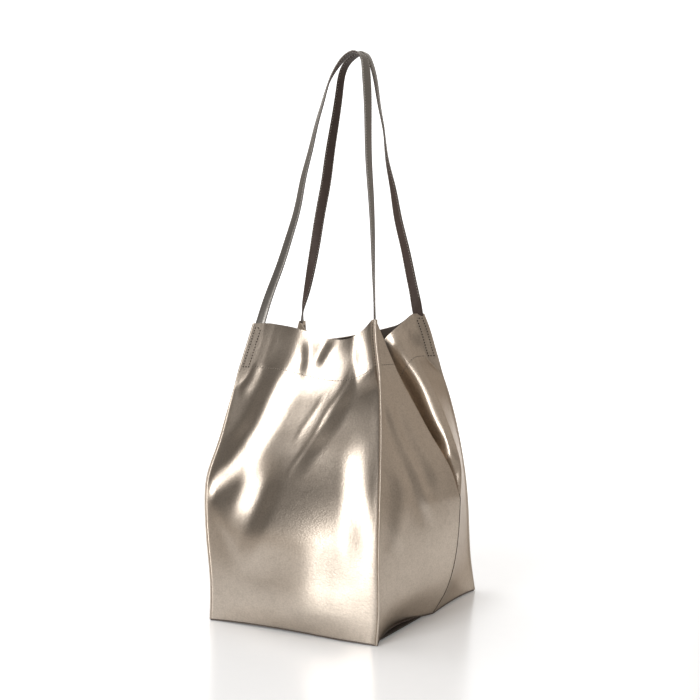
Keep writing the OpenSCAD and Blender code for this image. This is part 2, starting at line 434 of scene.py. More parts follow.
def tube_piece(name: str, rings: Array, slots: Sequence[int] = ()) -> Piece:
    """Closed tube through rings of points.

    Args:
        name: the piece's name.
        rings: rings of points, each counter-clockwise seen from the tube's end.
        slots: material slot of each side of the tube, or nothing for the first.

    Returns:
        The object.
    """
    count, sides = rings.shape[:2]
    caps = [tuple(range(sides - 1, -1, -1)), tuple(range((count - 1) * sides, count * sides))]
    used = (list(slots) or [0] * sides) * (count - 1) + [0] * len(caps)
    piece = mesh_piece(name, rings, tube_faces(count, sides, False) + caps, used)
    smooth_by_angle(piece, TUBE_CREASE)
    return piece


def ring_piece(name: str, loop: Array, radius: float, sides: int = 8) -> Piece:
    """Cord round a closed loop, counter-clockwise seen from above.

    Args:
        name: the piece's name.
        loop: points of its middle, the first not repeated.
        radius: its radius.
        sides: its facets.

    Returns:
        The object.
    """
    way = unit(np.roll(loop, -1, 0) - np.roll(loop, 1, 0))
    out = unit(np.cross(way, np.array([0.0, 0.0, 1.0])))
    rings = circles(loop, out, np.cross(out, way), radius, sides)
    return mesh_piece(name, rings, [(a, d, c, b) for a, b, c, d in tube_faces(len(loop), sides, True)])


def taken_apart(model: Piece) -> tuple[Array, list[tuple[int, ...]]]:
    """Takes a model's mesh and deletes the model.

    Blender's operators number points and faces anew in each run, so both are put in order of place.

    Args:
        model: the object.

    Returns:
        Its points and faces.
    """
    mesh = model.data
    points = np.array([tuple(v.co) for v in mesh.vertices])
    order = np.lexsort(np.round(points, PLACE_DIGITS).T)
    rank = np.argsort(order).tolist()
    faces = []
    for face in mesh.polygons:
        corners = [rank[i] for i in face.vertices]
        first = corners.index(min(corners))
        faces.append((*corners[first:], *corners[:first]))
    bpy.data.objects.remove(model)
    bpy.data.meshes.remove(mesh)
    return points[order], sorted(faces)


# Finishes


class Nodes:
    """Adds nodes to a material or a node group and links them."""

    def __init__(self, tree: bpy.types.NodeTree) -> None:
        """Empties a node tree to fill it anew."""
        self.tree = tree
        tree.nodes.clear()

    def feed(self, socket: Socket, value: object) -> None:
        """Links a socket to an output.

        Args:
            socket: the input.
            value: the output, or a value to set instead.
        """
        if isinstance(value, bpy.types.NodeSocket):
            self.tree.links.new(value, socket)
        else:
            socket.default_value = value

    def add(self, kind: str, settings: dict[str, object] | None = None, **inputs: object) -> bpy.types.Node:
        """Adds a node.

        Args:
            kind: the node's type, without ShaderNode in front.
            settings: properties to set on it.
            inputs: values or output sockets, by input name with _ for a space.

        Returns:
            The node.
        """
        node = self.tree.nodes.new(kind if kind.startswith("NodeGroup") else "ShaderNode" + kind)
        for key, value in (settings or {}).items():
            setattr(node, key, value)
        for key, value in inputs.items():
            name = key.replace("_", " ")
            self.feed(next(s for s in node.inputs if s.name == name and s.enabled), value)
        return node

    def math(self, operation: str, *values: object) -> Socket:
        """Adds a math node.

        Args:
            operation: what it does.
            values: numbers or outputs, in the order of its inputs.

        Returns:
            Its result.
        """
        node = self.add("Math", {"operation": operation})
        for socket, value in zip(node.inputs, values):
            self.feed(socket, value)
        return node.outputs[0]

    def spread(
        self, value: Socket, low: float, high: float, to_low: float = 0.0, to_high: float = 1.0
    ) -> Socket:
        """Maps a range of values to another, clamped.

        Args:
            value: the value.
            low: start of its range.
            high: end of its range.
            to_low: what the start becomes.
            to_high: what the end becomes.

        Returns:
            The mapped value.
        """
        node = self.add("MapRange", Value=value, From_Min=low, From_Max=high, To_Min=to_low, To_Max=to_high)
        return node.outputs["Result"]

    def blend(self, factor: Socket, first: Sequence[float], second: Sequence[float]) -> Socket:
        """Mixes two colours.

        Args:
            factor: share of the second.
            first: red, green and blue.
            second: the same of the other colour.

        Returns:
            The mixed colour.
        """
        node = self.add("Mix", {"data_type": "RGBA"})
        for index, value in ((0, factor), (6, (*first, 1.0)), (7, (*second, 1.0))):
            self.feed(node.inputs[index], value)
        return node.outputs[2]

    def noise(self, vector: Socket, scale: object, detail: float, rough: float) -> Socket:
        """Adds a noise node and returns its value."""
        return self.add("TexNoise", Vector=vector, Scale=scale, Detail=detail, Roughness=rough).outputs[0]


def new_group(name: str, inputs: dict[str, float], outputs: Sequence[str]) -> Nodes:
    """Starts a shader node group with number sockets and a vector input for the place.

    Args:
        name: the group's name.
        inputs: number inputs and their defaults.
        outputs: number outputs.

    Returns:
        The builder of its nodes, which holds its tree.
    """
    tree = bpy.data.node_groups.new(name, "ShaderNodeTree")
    tree.interface.new_socket("Place", in_out="INPUT", socket_type="NodeSocketVector")
    for key, value in inputs.items():
        tree.interface.new_socket(key, in_out="INPUT", socket_type="NodeSocketFloat").default_value = value
    for key in outputs:
        tree.interface.new_socket(key, in_out="OUTPUT", socket_type="NodeSocketFloat")
    return Nodes(tree)


def new_material(name: str) -> tuple[Material, Nodes]:
    """Starts a material.

    Args:
        name: its name.

    Returns:
        The material and the builder of its nodes.
    """
    material = bpy.data.materials.new(name)
    material.use_nodes = True
    return material, Nodes(material.node_tree)


def grain_group() -> bpy.types.NodeTree:
    """Fine leather grain, drawn out a little sideways, with pores between its cells.

    Returns:
        The group.
    """
    n = new_group("leather grain", {"Cell": 1.1, "Pores": 0.6}, ["Height", "Pits"])
    inside = n.add("NodeGroupInput").outputs
    place = n.add("Mapping", Vector=inside["Place"], Scale=(0.75, 0.75, 1.0)).outputs[0]
    per_metre = n.math("DIVIDE", 1 / MM, inside["Cell"])
    swell = n.noise(place, per_metre, 2.0, 0.55)
    cells = n.add("TexVoronoi", {"feature": "F1"}, Vector=place, Scale=n.math("MULTIPLY", per_metre, 1.3))
    pits = n.spread(cells.outputs["Distance"], 0.1, 0.9)
    height = n.math("SUBTRACT", swell, n.math("MULTIPLY", pits, inside["Pores"]))
    n.add("NodeGroupOutput", Height=height, Pits=pits)
    return n.tree


def patina_group() -> bpy.types.NodeTree:
    """Slow changes over a hide: broad patches and a finer mottle.

    Returns:
        The group.
    """
    n = new_group("hide patina", {"Patch": 60.0}, ["Broad", "Mottle"])
    inside = n.add("NodeGroupInput").outputs
    per_metre = n.math("DIVIDE", 1 / MM, inside["Patch"])
    broad = n.noise(inside["Place"], per_metre, 2.0, 0.5)
    mottle = n.noise(inside["Place"], n.math("MULTIPLY", per_metre, 9.0), 4.0, 0.65)
    n.add("NodeGroupOutput", Broad=n.spread(broad, 0.35, 0.65), Mottle=n.spread(mottle, 0.3, 0.7))
    return n.tree


@dataclass(frozen=True)
class LeatherFinish:
    """Leather with a grain; metallic leather has a foil over it."""

    name: str
    colour: Point
    deep: Point
    metallic: float
    roughness: float
    roughness_swing: float
    grain_cell: float
    grain_depth: float
    edge: Point = (1.0, 1.0, 1.0)
    shares: tuple[tuple[str, float], ...] = (("Broad", 0.25), ("Mottle", 0.25), ("Pits", 0.5))

    def material(self, grain: bpy.types.NodeTree, patina: bpy.types.NodeTree) -> Material:
        """Builds the material.

        Args:
            grain: the shared grain group.
            patina: the shared patina group.

        Returns:
            The material.
        """
        material, n = new_material(self.name)
        place = n.add("TexCoord").outputs["Object"]
        skin = n.add("Group", {"node_tree": grain}, Place=place, Cell=self.grain_cell).outputs
        hide = n.add("Group", {"node_tree": patina}, Place=place).outputs
        masks = {"Broad": hide["Broad"], "Mottle": hide["Mottle"], "Pits": skin["Pits"]}
        first, *others = (n.math("MULTIPLY", masks[key], share) for key, share in self.shares)
        shade = first
        for other in others:
            shade = n.math("ADD", shade, other)
        low, high = self.roughness - self.roughness_swing, self.roughness + self.roughness_swing
        bump = n.add("Bump", Strength=1.0, Distance=self.grain_depth * MM, Height=skin["Height"])
        shader = n.add(
            "BsdfPrincipled",
            Base_Color=n.blend(shade, self.colour, self.deep),
            Roughness=n.spread(hide["Mottle"], 0.0, 1.0, low, high),
            Metallic=self.metallic,
            Normal=bump.outputs[0],
            Specular_Tint=(*self.edge, 1.0),
        )
        n.add("OutputMaterial", Surface=shader.outputs[0])
        return material


@dataclass(frozen=True)
class ThreadFinish:
    """Twisted sewing thread."""

    name: str
    colour: Point
    roughness: float = 0.6
    twists: float = 2600.0
    shadow: float = 0.6

    def material(self) -> Material:
        """Builds the material, with a fine twist across each stitch.

        Returns:
            The material.
        """
        material, n = new_material(self.name)
        twist = n.noise(n.add("TexCoord").outputs["Object"], self.twists, 1.0, 0.5)
        colour = n.blend(n.spread(twist, 0.35, 0.65), self.colour, [self.shadow * c for c in self.colour])
        bump = n.add("Bump", Strength=0.6, Distance=0.1 * MM, Height=twist)
        shader = n.add(
            "BsdfPrincipled", Base_Color=colour, Roughness=self.roughness, Normal=bump.outputs[0]
        )
        n.add("OutputMaterial", Surface=shader.outputs[0])
        return material


FOIL_EDGE = (0.7, 0.64, 0.58)


class Leather(Enum):
    """The leathers of the bag, and the cloth on its board."""

    FOIL = LeatherFinish(
        "bronze foil leather",
        (0.63, 0.553, 0.474), (0.44, 0.384, 0.324), 0.95, 0.295, 0.02, 2.0, 0.06, FOIL_EDGE,
    )
    TRIM = LeatherFinish(
        "bronze foil trim",
        (0.60, 0.53, 0.46), (0.50, 0.44, 0.37), 0.8, 0.36, 0.05, 0.9, 0.06, FOIL_EDGE,
    )
    FLESH = LeatherFinish(
        "dark flesh side",
        (0.075, 0.055, 0.045), (0.045, 0.034, 0.028), 0.0, 0.85, 0.08, 0.8, 0.12,
    )
    STRAP = LeatherFinish(
        "grey foil strap",
        (0.27, 0.258, 0.242), (0.19, 0.178, 0.166), 0.75, 0.36, 0.06, 0.9, 0.06,
    )
    LINING = LeatherFinish(
        "brown strap lining",
        (0.07, 0.045, 0.037), (0.042, 0.028, 0.023), 0.0, 0.6, 0.08, 0.8, 0.08,
    )
    BOARD = LeatherFinish(
        "cloth-covered board",
        (0.05, 0.04, 0.033), (0.035, 0.028, 0.024), 0.0, 0.9, 0.05, 0.5, 0.1,
    )
    # Foil leather darkened to paint the shade inside the mouth and under the base edge; worn by the facings
    # and the base cord.
    INSIDE = LeatherFinish(
        "dark bronze facing",
        (0.15, 0.125, 0.11), (0.09, 0.075, 0.066), 0.45, 0.42, 0.05, 0.9, 0.06,
    )


class Thread(Enum):
    """The sewing threads, a dark cord that paints the shade in a gusset's centre groove, and the painted
    shade in a needle hole.
    """

    BRONZE = ThreadFinish("bronze thread", (0.42, 0.37, 0.31))
    # dark cord laid in a gusset's centre groove: painted shade for the groove's shadow line
    DARK = ThreadFinish("dark thread", (0.13, 0.105, 0.085))
    PALE = ThreadFinish("pale thread", (0.62, 0.58, 0.52))
    # near-black colour of the needle pits: painted shade in the holes
    HOLE = ThreadFinish("needle holes", (0.035, 0.027, 0.022), 0.9)


class Wardrobe:
    """The bag's materials, each built once."""

    def __init__(self) -> None:
        """Builds the shared groups and every material."""
        grain, patina = grain_group(), patina_group()
        self.made = {leather: leather.value.material(grain, patina) for leather in Leather}
        self.made |= {thread: thread.value.material() for thread in Thread}

    def dress(self, piece: Piece, slot: str, *finishes: Leather | Thread) -> Piece:
        """Gives a piece its materials.

        Args:
            piece: the piece.
            slot: not used.
            finishes: the piece's finishes, in the order of its material slots.

        Returns:
            The piece.
        """
        for finish in finishes:
            piece.data.materials.append(self.made[finish])
        LOG.info("%s: %d faces", piece.name, len(piece.data.polygons))
        return piece


# Form of the bag


@dataclass(frozen=True)
class Corner:
    """A seam between a panel and a gusset, from the base to its pinched mouth corner."""

    side: Side
    end: End
    pinch_angle: float
    ridge: tuple[Point, ...]
    hem: float = 45.0
    fade: float = 24.0
    turn_depth: float = 120.0
    turn_reach: float = 75.0
    seam_width: float = 0.7
    pinch_width: float = 13.0
    strap_thickness: float = 1.8
    skin: float = 1.2
    clearance: float = 0.15

    @property
    def name(self) -> str:
        """Such as front_left."""
        return f"{self.end.name}_{self.side.name}".lower()

    @property
    def base_angle(self) -> float:
        """Direction into the bag at the base, in degrees."""
        return math.degrees(math.atan2(-self.end.value, -self.side.value))

    @property
    def top(self) -> float:
        """Height of the mouth corner."""
        return self.ridge[-1][2]

    def heights(self, share: Array | float) -> Array:
        """Heights at shares of the way up the seam."""
        low = self.ridge[0][2]
        return low + np.asarray(share, float) * (self.top - low)

    def share(self, height: float) -> float:
        """Share of the way up the seam at a height."""
        return (height - self.ridge[0][2]) / (self.top - self.ridge[0][2])

    def point(self, share: Array) -> Array:
        """Points on the seam's outer edge."""
        return Spline([p[2] for p in self.ridge], self.ridge).at(self.heights(share))

    def pinched(self, share: Array) -> Array:
        """How far the corner is pinched flat: 0 for a plain seam, 1 beside the strap end."""
        return soft_step(1 + (self.heights(share) - self.top + self.hem) / self.fade)

    def inward(self, share: Array) -> Array:
        """Directions from the seam into the bag, turned near the mouth.

        Args:
            share: shares of the way up the seam.

        Returns:
            A unit vector for each share.
        """
        turn = (self.pinch_angle - self.base_angle + 180) % 360 - 180
        part = soft_step((self.heights(share) - self.top + self.turn_depth) / self.turn_reach)
        return plan_direction(self.base_angle + turn * part)

    def across(self, inward: Array) -> Array:
        """Level directions square to inward ones, towards the panel."""
        sign = self.side.value * self.end.value
        return inward[..., [1, 0, 2]] * np.array([sign, -sign, 1])

    def edge(self, share: Array, cover: Cover, deep: float) -> Array:
        """Outer face of a wall at the corner.

        Args:
            share: shares of the way up.
            cover: the wall.
            deep: 0 at the seam's edge, 1 where the wall leaves the pinch.

        Returns:
            Points.
        """
        p = self.pinched(share)[:, None]
        inward = self.inward(share)
        depth = self.seam_width + (self.pinch_width - self.seam_width) * p
        half = self.clearance + p * self.strap_thickness / 2 + self.skin
        return self.point(share) + deep * depth * inward + cover.value * half * self.across(inward)

    def plain(self, share: Array, cover: Cover) -> Array:
        """Outer face of a wall at the corner if it weren't pinched.

        Args:
            share: shares of the way up.
            cover: the wall.

        Returns:
            Points.
        """
        inward = plan_direction(self.base_angle)
        half = cover.value * (self.clearance + self.skin)
        return self.point(share) + self.seam_width * inward + half * self.across(inward)

    def middle(self, share: Array) -> Array:
        """Middle of the pinched corner."""
        return self.point(share) + 0.5 * self.pinch_width * self.inward(share)


CORNERS = {
    (corner.side, corner.end): corner
    for corner in (
        Corner(Side.LEFT, End.FRONT, 3.0, (
            (-94, -119, 1), (-92, -121, 41), (-96, -121, 82), (-100, -118, 121), (-101, -113, 145),
            (-97, -101, 175), (-96, -86, 205), (-94, -71, 238), (-90, -59, 269), (-86.5, -47, 299),
        )),
        Corner(Side.RIGHT, End.FRONT, 121.0, (
            (94, -119, 1), (97, -120, 34), (97, -120, 68), (96, -117, 114), (91, -105, 159),
            (82, -86, 199), (76, -75, 227), (68, -63, 257), (61, -56, 285), (57, -50, 304),
        )),
        Corner(Side.LEFT, End.BACK, 285.0, (
            (-94, 119, 1), (-94, 119, 40), (-96, 117, 82), (-98, 113, 121), (-99, 104, 155),
            (-96, 88, 200), (-92, 72, 240), (-88, 58, 275), (-85, 50, 300),
        )),
        Corner(Side.RIGHT, End.BACK, 237.0, (
            (94, 119, 1), (89, 119, 34), (87, 116, 90), (86, 108, 136), (84, 93, 182),
            (79, 77, 226), (70, 62, 270), (66, 54, 294), (61, 51, 309),
        )),
    )
}


@dataclass(frozen=True)
class Wall:
    """A sheet of leather by the grid of its outer face, columns to the right of someone who looks at it."""

    name: str
    grid: Array
    cut: Cut
    skin: float

    @cached_property
    def normals(self) -> Array:
        """Normals of the outer face."""
        return grid_normals(self.grid)

    def inset(self, depth: float) -> Array:
        """The grid moved inwards."""
        return self.grid - depth * self.normals

    def piece(self) -> Piece:
        """Builds the sheet."""
        return sheet_piece(self.name + "_leather", self.grid, self.inset(self.skin), self.cut)

    def line(self, rows: Array | float, cols: Array | float) -> Line:
        """Points on the outer face and normals at fractional rows and columns."""
        rows, cols = np.broadcast_arrays(rows, cols)
        return between(self.grid, rows, cols), unit(between(self.normals, rows, cols))


@dataclass(frozen=True, kw_only=True)
class WallForm:
    """What panels and gusset halves share; their flanges are the columns in a pinched corner."""

    end: End
    folds: tuple[Fold, ...] = ()
    edge_cols: int = 5
    base_lift: float
    base_draw: float
    hem: float = 45.0
    skin: float = 1.2

    def flange(self, corner: Corner, share: Array, cover: Cover) -> Array:
        """Columns from a corner's edge inwards, without the last, which is the wall's first.

        Args:
            corner: the corner.
            share: shares of the way up of the rows.
            cover: the wall.

        Returns:
            Grid of points.
        """
        deep = np.linspace(0, 1, self.edge_cols)[:-1]
        return np.stack([corner.edge(share, cover, d) for d in deep], axis=1)


@dataclass(frozen=True, kw_only=True)
class PanelForm(WallForm):
    """Front or back panel between its two corner seams."""

    rim_dip: float
    rim_sink: float
    belly: float
    dip_place: float = 0.5
    trough_power: float = 1.0
    sag_from: float = 0.35
    sag_power: float = 1.4
    rows: int = 150
    cols: int = 118
    base_lift: float = 2.6
    base_draw: float = 3.0
    base_share: float = 0.09
    foot: float = 0.0
    foot_height: float = 28.0
    pinch_reach: float = 25.0
    smoothing: int = 5
    fold_edge: float = 7.0
    flanges: tuple[bool, bool] = (True, True)

    @property
    def name(self) -> str:
        """The panel's name."""
        return f"{self.end.name}_panel".lower()

    def body(self, v: Array) -> Array:
        """The panel between its flanges before its folds: the lean, the belly, the foot and the sunken rim.

        Args:
            v: shares of the way up of its rows.

        Returns:
            Grid of its outer face, from the left corner to the right.
        """
        ends = [CORNERS[side, self.end] for side in Side]
        u = np.linspace(0, 1, self.cols)[None, :, None]
        low_start, low_finish = (corner.plain(v, Cover.PANEL)[:, None] for corner in ends)
        start, finish = (corner.edge(v, Cover.PANEL, 1.0)[:, None] for corner in ends)
        body = low_start + (low_finish - low_start) * u
        width = np.linalg.norm(low_finish - low_start, axis=-1, keepdims=True)
        body += (start - low_start) * np.clip(1 - u * width / self.pinch_reach, 0, 1)
        body += (finish - low_finish) * np.clip(1 - (1 - u) * width / self.pinch_reach, 0, 1)
        arch = np.sin(np.pi * u[..., 0])
        trough = np.sin(np.pi * u[..., 0] ** (math.log(0.5) / math.log(self.dip_place)))
        trough = np.clip(trough, 0.0, 1.0) ** self.trough_power
        sag = np.clip((v - self.sag_from) / (1 - self.sag_from), 0, 1)[:, None] ** self.sag_power
        low = (1 - soft_step(v / self.base_share))[:, None]
        rise = body[..., 2] / self.foot_height
        foot = self.foot * rise * np.exp(1 - rise) * arch**2
        out = self.belly * np.sin(np.pi * v)[:, None] - self.base_draw * low
        body[..., 1] += self.end.value * (arch * out + foot - trough * self.rim_sink * sag)
        body[..., 2] += arch * self.base_lift * low - trough * self.rim_dip * sag
        return body

    def wall(self) -> Wall:
        """Shapes the panel with its flanges and its folds.

        Returns:
            The wall.
        """
        v = np.linspace(0, 1, self.rows)
        left, right = (self.flange(CORNERS[side, self.end], v, Cover.PANEL) for side in Side)
        grid = relaxed(np.concatenate([left, self.body(v), right[:, ::-1]], axis=1), self.smoothing)
        if self.end is End.BACK:
            grid = grid[:, ::-1]
        inner = slice(self.edge_cols - 1, 1 - self.edge_cols)
        lift = np.zeros(grid.shape[:2])
        lift[:, inner] = fold_lift(self.folds, grid[:, inner, 0], grid[:, inner, 2])
        place = np.arange(grid.shape[1])
        lift *= soft_step((np.minimum(place, place[::-1]) - self.edge_cols + 2) / self.fold_edge)
        return Wall(self.name, grid + lift[..., None] * grid_normals(grid), Cut.WHOLE, self.skin)

    def hem_row(self) -> float:
        """Row of the stitched hem line."""
        return (self.rows - 1) * (1 - self.hem / CORNERS[Side.LEFT, self.end].top)


@dataclass(frozen=True, kw_only=True)
class GussetForm(WallForm):
    """One half of a gusset: flat up to the knee, then bent at a crease and folded in."""

    side: Side
    knee: Point = (126.0, 4.5, 126.0)
    valley: Point = (5.0, -3.0, 240.0)
    seam: tuple[Point, ...] = ((94, 8, 1), (108, 7, 24), (118, 6, 52), (124, 5, 90), (126, 4.5, 126))
    crease_bow: tuple[float, ...] = (0.0, 5.0, 1.2, -1.3, -3.4, -2.2, 0.0)
    rim_bow: float = 5.0
    half_gap: float = 0.35
    inner_folds: tuple[Fold, ...] = ()
    fold_rows: int = 88
    low_rows: int = 52
    base_lift: float = 4.0
    base_draw: float = 8.0
    base_share: float = 0.14
    base_bow: float = 0.8
    smoothing: int = 2
    flange_fade: float = 6.0
    crease_fade: float = 5.0
    seam_fade: float = 4.0

    @property
    def name(self) -> str:
        """The half's name."""
        return f"{self.side.name}_gusset_{self.end.name}".lower()

    @property
    def turned(self) -> bool:
        """Whether its corner is on the right of someone who looks at it."""
        return self.side.value * self.end.value > 0

    @property
    def flanges(self) -> tuple[bool, bool]:
        """Whether its first and its last columns are in a pinched corner."""
        return not self.turned, self.turned

    @property
    def gap(self) -> Array:
        """Way from the centre seam to its edge."""
        return np.array([0, self.end.value * self.half_gap, 0])

    def low_row(self, start: Array, rise: float, share: float) -> Array:
        """A row up to the knee, level from the corner to the centre seam.

        Args:
            start: where it leaves the corner.
            rise: share of the way up to the knee.
            share: share of the way up to the mouth.

        Returns:
            Its points.
        """
        s = np.linspace(0, 1, self.fold_rows + 1)[:, None]
        foot = self.seam[0][2]
        height = foot + (self.knee[2] - foot) * rise
        middle = Spline([p[2] for p in self.seam], self.seam).at(height)[0] + self.gap
        row = start + (middle - start) * s
        low = (1 - soft_step(share / self.base_share)) * np.sin(np.pi * s[:, 0] ** self.base_bow)
        row[:, 0] -= self.side.value * self.base_draw * low
        row[:, 2] += self.base_lift * low
        return row

    def folded_row(self, start: Array, top: Array, behind: int) -> Array:
        """A row above the knee, out to the crease and back in to the valley.

        Args:
            start: where it leaves the corner.
            top: the same at the mouth.
            behind: how many of its cells lie behind the crease.

        Returns:
            Its points.
        """
        q = behind / self.fold_rows
        knee = np.array(self.knee)
        bow = Spline(np.linspace(0, 1, len(self.crease_bow)), [(b,) for b in self.crease_bow]).at(q)[0, 0]
        crease = knee + self.gap + (top - knee - self.gap) * q + np.array([self.side.value * bow, 0, 0])
        inner = knee + self.gap + (np.array(self.valley) - knee) * q
        face = start + (crease - start) * np.linspace(0, 1, self.fold_rows - behind + 1)[:, None]
        t = np.linspace(0, 1, behind + 1)[:, None]
        fold = crease + (inner - crease) * t
        fold[:, 2] += self.rim_bow * q**3 * np.sin(np.pi * t[:, 0])
        return np.concatenate([face[:-1], fold])

    def wall(self) -> Wall:
        """Shapes the half from its corner to the centre seam, with its folds.

        Returns:
            The wall.
        """
        corner = CORNERS[self.side, self.end]
        knee = corner.share(self.knee[2])
        low, high = np.linspace(0, 1, self.low_rows + 1), np.linspace(knee, 1, self.fold_rows + 1)[1:]
        share = np.concatenate([low * knee, high])
        start = corner.edge(share, Cover.GUSSET, 1.0)
        rows = [self.low_row(start[j], low[j], share[j]) for j in range(self.low_rows + 1)]
        upper = range(1, self.fold_rows + 1)
        rows += [self.folded_row(start[self.low_rows + k], start[-1], k) for k in upper]
        grid = np.concatenate([self.flange(corner, share, Cover.GUSSET), np.stack(rows)], axis=1)
        grid = relaxed(grid, self.smoothing, rows_too=True)
        place = np.arange(grid.shape[1])[None, :]
        behind = np.clip(np.arange(len(share)) - self.low_rows, 0, None)[:, None]
        bend = self.fold_rows + self.edge_cols - 1 - behind
        outer = soft_step((bend - place) / self.flange_fade)
        outer = outer * soft_step((place - self.edge_cols + 2) / self.flange_fade)
        inner = soft_step((place - bend) / self.crease_fade)
        inner = inner * soft_step((grid.shape[1] - 1 - place) / self.seam_fade)
        if self.turned:
            grid, outer, inner = (field[:, ::-1] for field in (grid, outer, inner))
        lift = outer * sum(f.field(grid[..., 1], grid[..., 2]) for f in self.folds)
        lift = lift + inner * sum(f.field(grid[..., 0], grid[..., 2]) for f in self.inner_folds)
        grid = grid + lift[..., None] * grid_normals(grid)
        return Wall(self.name, grid, Cut.RISING if self.turned else Cut.FALLING, self.skin)

    def hem_row(self) -> float:
        """Row of the stitched hem line."""
        top, low = CORNERS[self.side, self.end].top, self.knee[2]
        return self.low_rows + self.fold_rows * (top - self.hem - low) / (top - low)


# Stitches


@dataclass(frozen=True)
class StitchForm:
    """Machine stitches along a line."""

    pitch: float = 3.0
    length: float = 2.1
    width: float = 0.55
    height: float = 0.4
    hole: float = 0.42
    sides: int = 6
    raised: float = 0.15
    pit_depth: float = 0.25
    pit_taper: float = 0.6
    pit_rise: float = 0.06

    @cached_property
    def shape(self) -> tuple[Array, list[tuple[int, ...]], list[int]]:
        """One stitch and the needle hole before it, along +X with +Z away from the leather.

        Returns:
            Points in millimetres, faces and the slot of each face.
        """
        before = (-self.pitch / 2, 0.0, 0.0)
        turn = (0.0, math.pi / 2, 0.0)
        bpy.ops.object.select_all(action="DESELECT")
        bpy.ops.mesh.primitive_uv_sphere_add(segments=self.sides, ring_count=4, radius=0.5, rotation=turn)
        bpy.ops.object.transform_apply(location=False, rotation=True, scale=False)
        bpy.ops.object.mode_set(mode="EDIT")
        bpy.ops.transform.resize(value=(self.length, self.width, self.height))
        bpy.ops.transform.translate(value=(0.0, 0.0, self.raised * self.height))
        bpy.ops.object.mode_set(mode="OBJECT")
        thread, faces = taken_apart(bpy.context.object)
        bpy.ops.mesh.primitive_circle_add(
            vertices=self.sides, radius=self.hole, fill_type="NGON", location=before
        )
        bpy.ops.object.transform_apply(location=True, rotation=False, scale=False)
        bpy.ops.object.mode_set(mode="EDIT")
        bpy.ops.mesh.extrude_region_move(TRANSFORM_OT_translate={"value": (0.0, 0.0, -self.pit_depth)})
        bpy.ops.transform.resize(value=(self.pit_taper, self.pit_taper, 1.0), center_override=before)
        bpy.ops.mesh.select_all(action="SELECT")
        bpy.ops.transform.translate(value=(0.0, 0.0, self.pit_rise))
        bpy.ops.mesh.normals_make_consistent(inside=False)
        bpy.ops.object.mode_set(mode="OBJECT")
        pit, pit_faces = taken_apart(bpy.context.object)
        # the pits take the second slot, which carries the needle holes' painted shade
        slots = [0] * len(faces) + [1] * len(pit_faces)
        faces += [tuple(len(thread) + i for i in f) for f in pit_faces]
        return np.concatenate([thread, pit]), faces, slots

    def seam(self, name: str, lines: Sequence[Line], lift: float = 0.05) -> Piece:
        """Places stitches along lines.

        Args:
            name: the piece's name.
            lines: points and normals of each line.
            lift: height of the stitches' feet above the leather.

        Returns:
            One object with all of them.
        """
        shape, faces, slots = self.shape
        places, ways, normals = [], [], []
        for points, normal in lines:
            along = lengths_along(points)
            count = max(1, int(round(along[-1] / self.pitch)))
            at = (np.arange(count) + 0.5) * along[-1] / count
            before, here, after = (read_off(points, along, at + d) for d in (-1.0, 0.0, 1.0))
            places.append(here)
            ways.append(unit(after - before))
            normals.append(unit(read_off(normal, along, at)))
        place, way, normal = (np.concatenate(rows) for rows in (places, ways, normals))
        side = unit(np.cross(normal, way))
        axes = np.stack([way, side, np.cross(way, side)], axis=1)
        points = place[:, None] + (shape + np.array([0.0, 0.0, lift])) @ axes
        every = [tuple(i + k * len(shape) for i in f) for k in range(len(place)) for f in faces]
        return mesh_piece(name, points, every, slots * len(place))


# Straps


@dataclass(frozen=True)
class StrapForm:
    """A strap of face leather and lining, sewn into two mouth corners.

    The free run is points from the left corner to the right with the angle of the strap's width in
    plan. The groove is the fine line between the two layers, and the rounding is at their outer edges.
    """

    end: End
    end_angles: tuple[float, float]
    free_run: tuple[tuple[float, float, float, float], ...]
    sewn_shares: tuple[float, ...] = (0.86, 0.92, 0.975)
    width: float = 11.0
    face: float = 1.0
    lining: float = 0.8
    groove: float = 0.12
    face_rounding: tuple[float, float] = (0.4, 0.35)
    lining_rounding: tuple[float, float] = (0.35, 0.3)
    stations: int = 260
    bare: int = 24
    stitch_inset: float = 0.9
    stitch_lift: float = 0.03

    @property
    def name(self) -> str:
        """Such as front_strap."""
        return f"{self.end.name}_strap".lower()

    @cached_property
    def run(self) -> tuple[Array, Array, Array]:
        """Centre line, width direction and face direction at every station.

        Returns:
            The three, one row for each station.
        """
        shares = np.array(self.sewn_shares)
        left, right = (CORNERS[side, self.end].middle(shares) for side in Side)
        rows = [(*p, self.end_angles[0]) for p in left] + list(self.free_run)
        rows += [(*p, self.end_angles[1]) for p in right[::-1]]
        run = curve_through(rows).at(np.linspace(0, 1, self.stations))
        centre = run[:, :3]
        way = unit(np.gradient(centre, axis=0))
        level = plan_direction(run[:, 3])
        wide = unit(level - (level * way).sum(1, keepdims=True) * way)
        return centre, wide, np.cross(way, wide)

    def band(self) -> Piece:
        """Builds the strap as one band.

        Returns:
            The band, its face in the first material slot and its lining in the second.
        """
        centre, wide, up = self.run
        h, t, b, g = self.width / 2, self.face, self.lining, self.groove
        (face_in, face_down), (lining_in, lining_up) = self.face_rounding, self.lining_rounding
        right = [(h / 3, -b), (h - lining_in, -b), (h, -b + lining_up), (h, -g), (h - g, 0.0)]
        right += [(h, g), (h, t - face_down), (h - face_in, t), (h / 3, t + g)]
        left = [(-x, y) for x, y in right[::-1]]
        outline = left[5:] + right + left[:5]
        rings = np.stack([centre + x * wide + y * up for x, y in outline], axis=1)
        return tube_piece(self.name + "_band", rings, [1] * 8 + [0] * 9 + [1])

    def lines(self) -> list[Line]:
        """Lines of edge stitches.

        Returns:
            The lines on the face and on the lining, by their points and normals.
        """
        centre, wide, up = (rows[self.bare : -self.bare] for rows in self.run)
        off, lift = self.width / 2 - self.stitch_inset, self.stitch_lift
        return [
            (centre + side.value * off * wide + depth * up, math.copysign(1.0, depth) * up)
            for side in Side
            for depth in (self.face + lift, -self.lining - lift)
        ]


# Assemblies


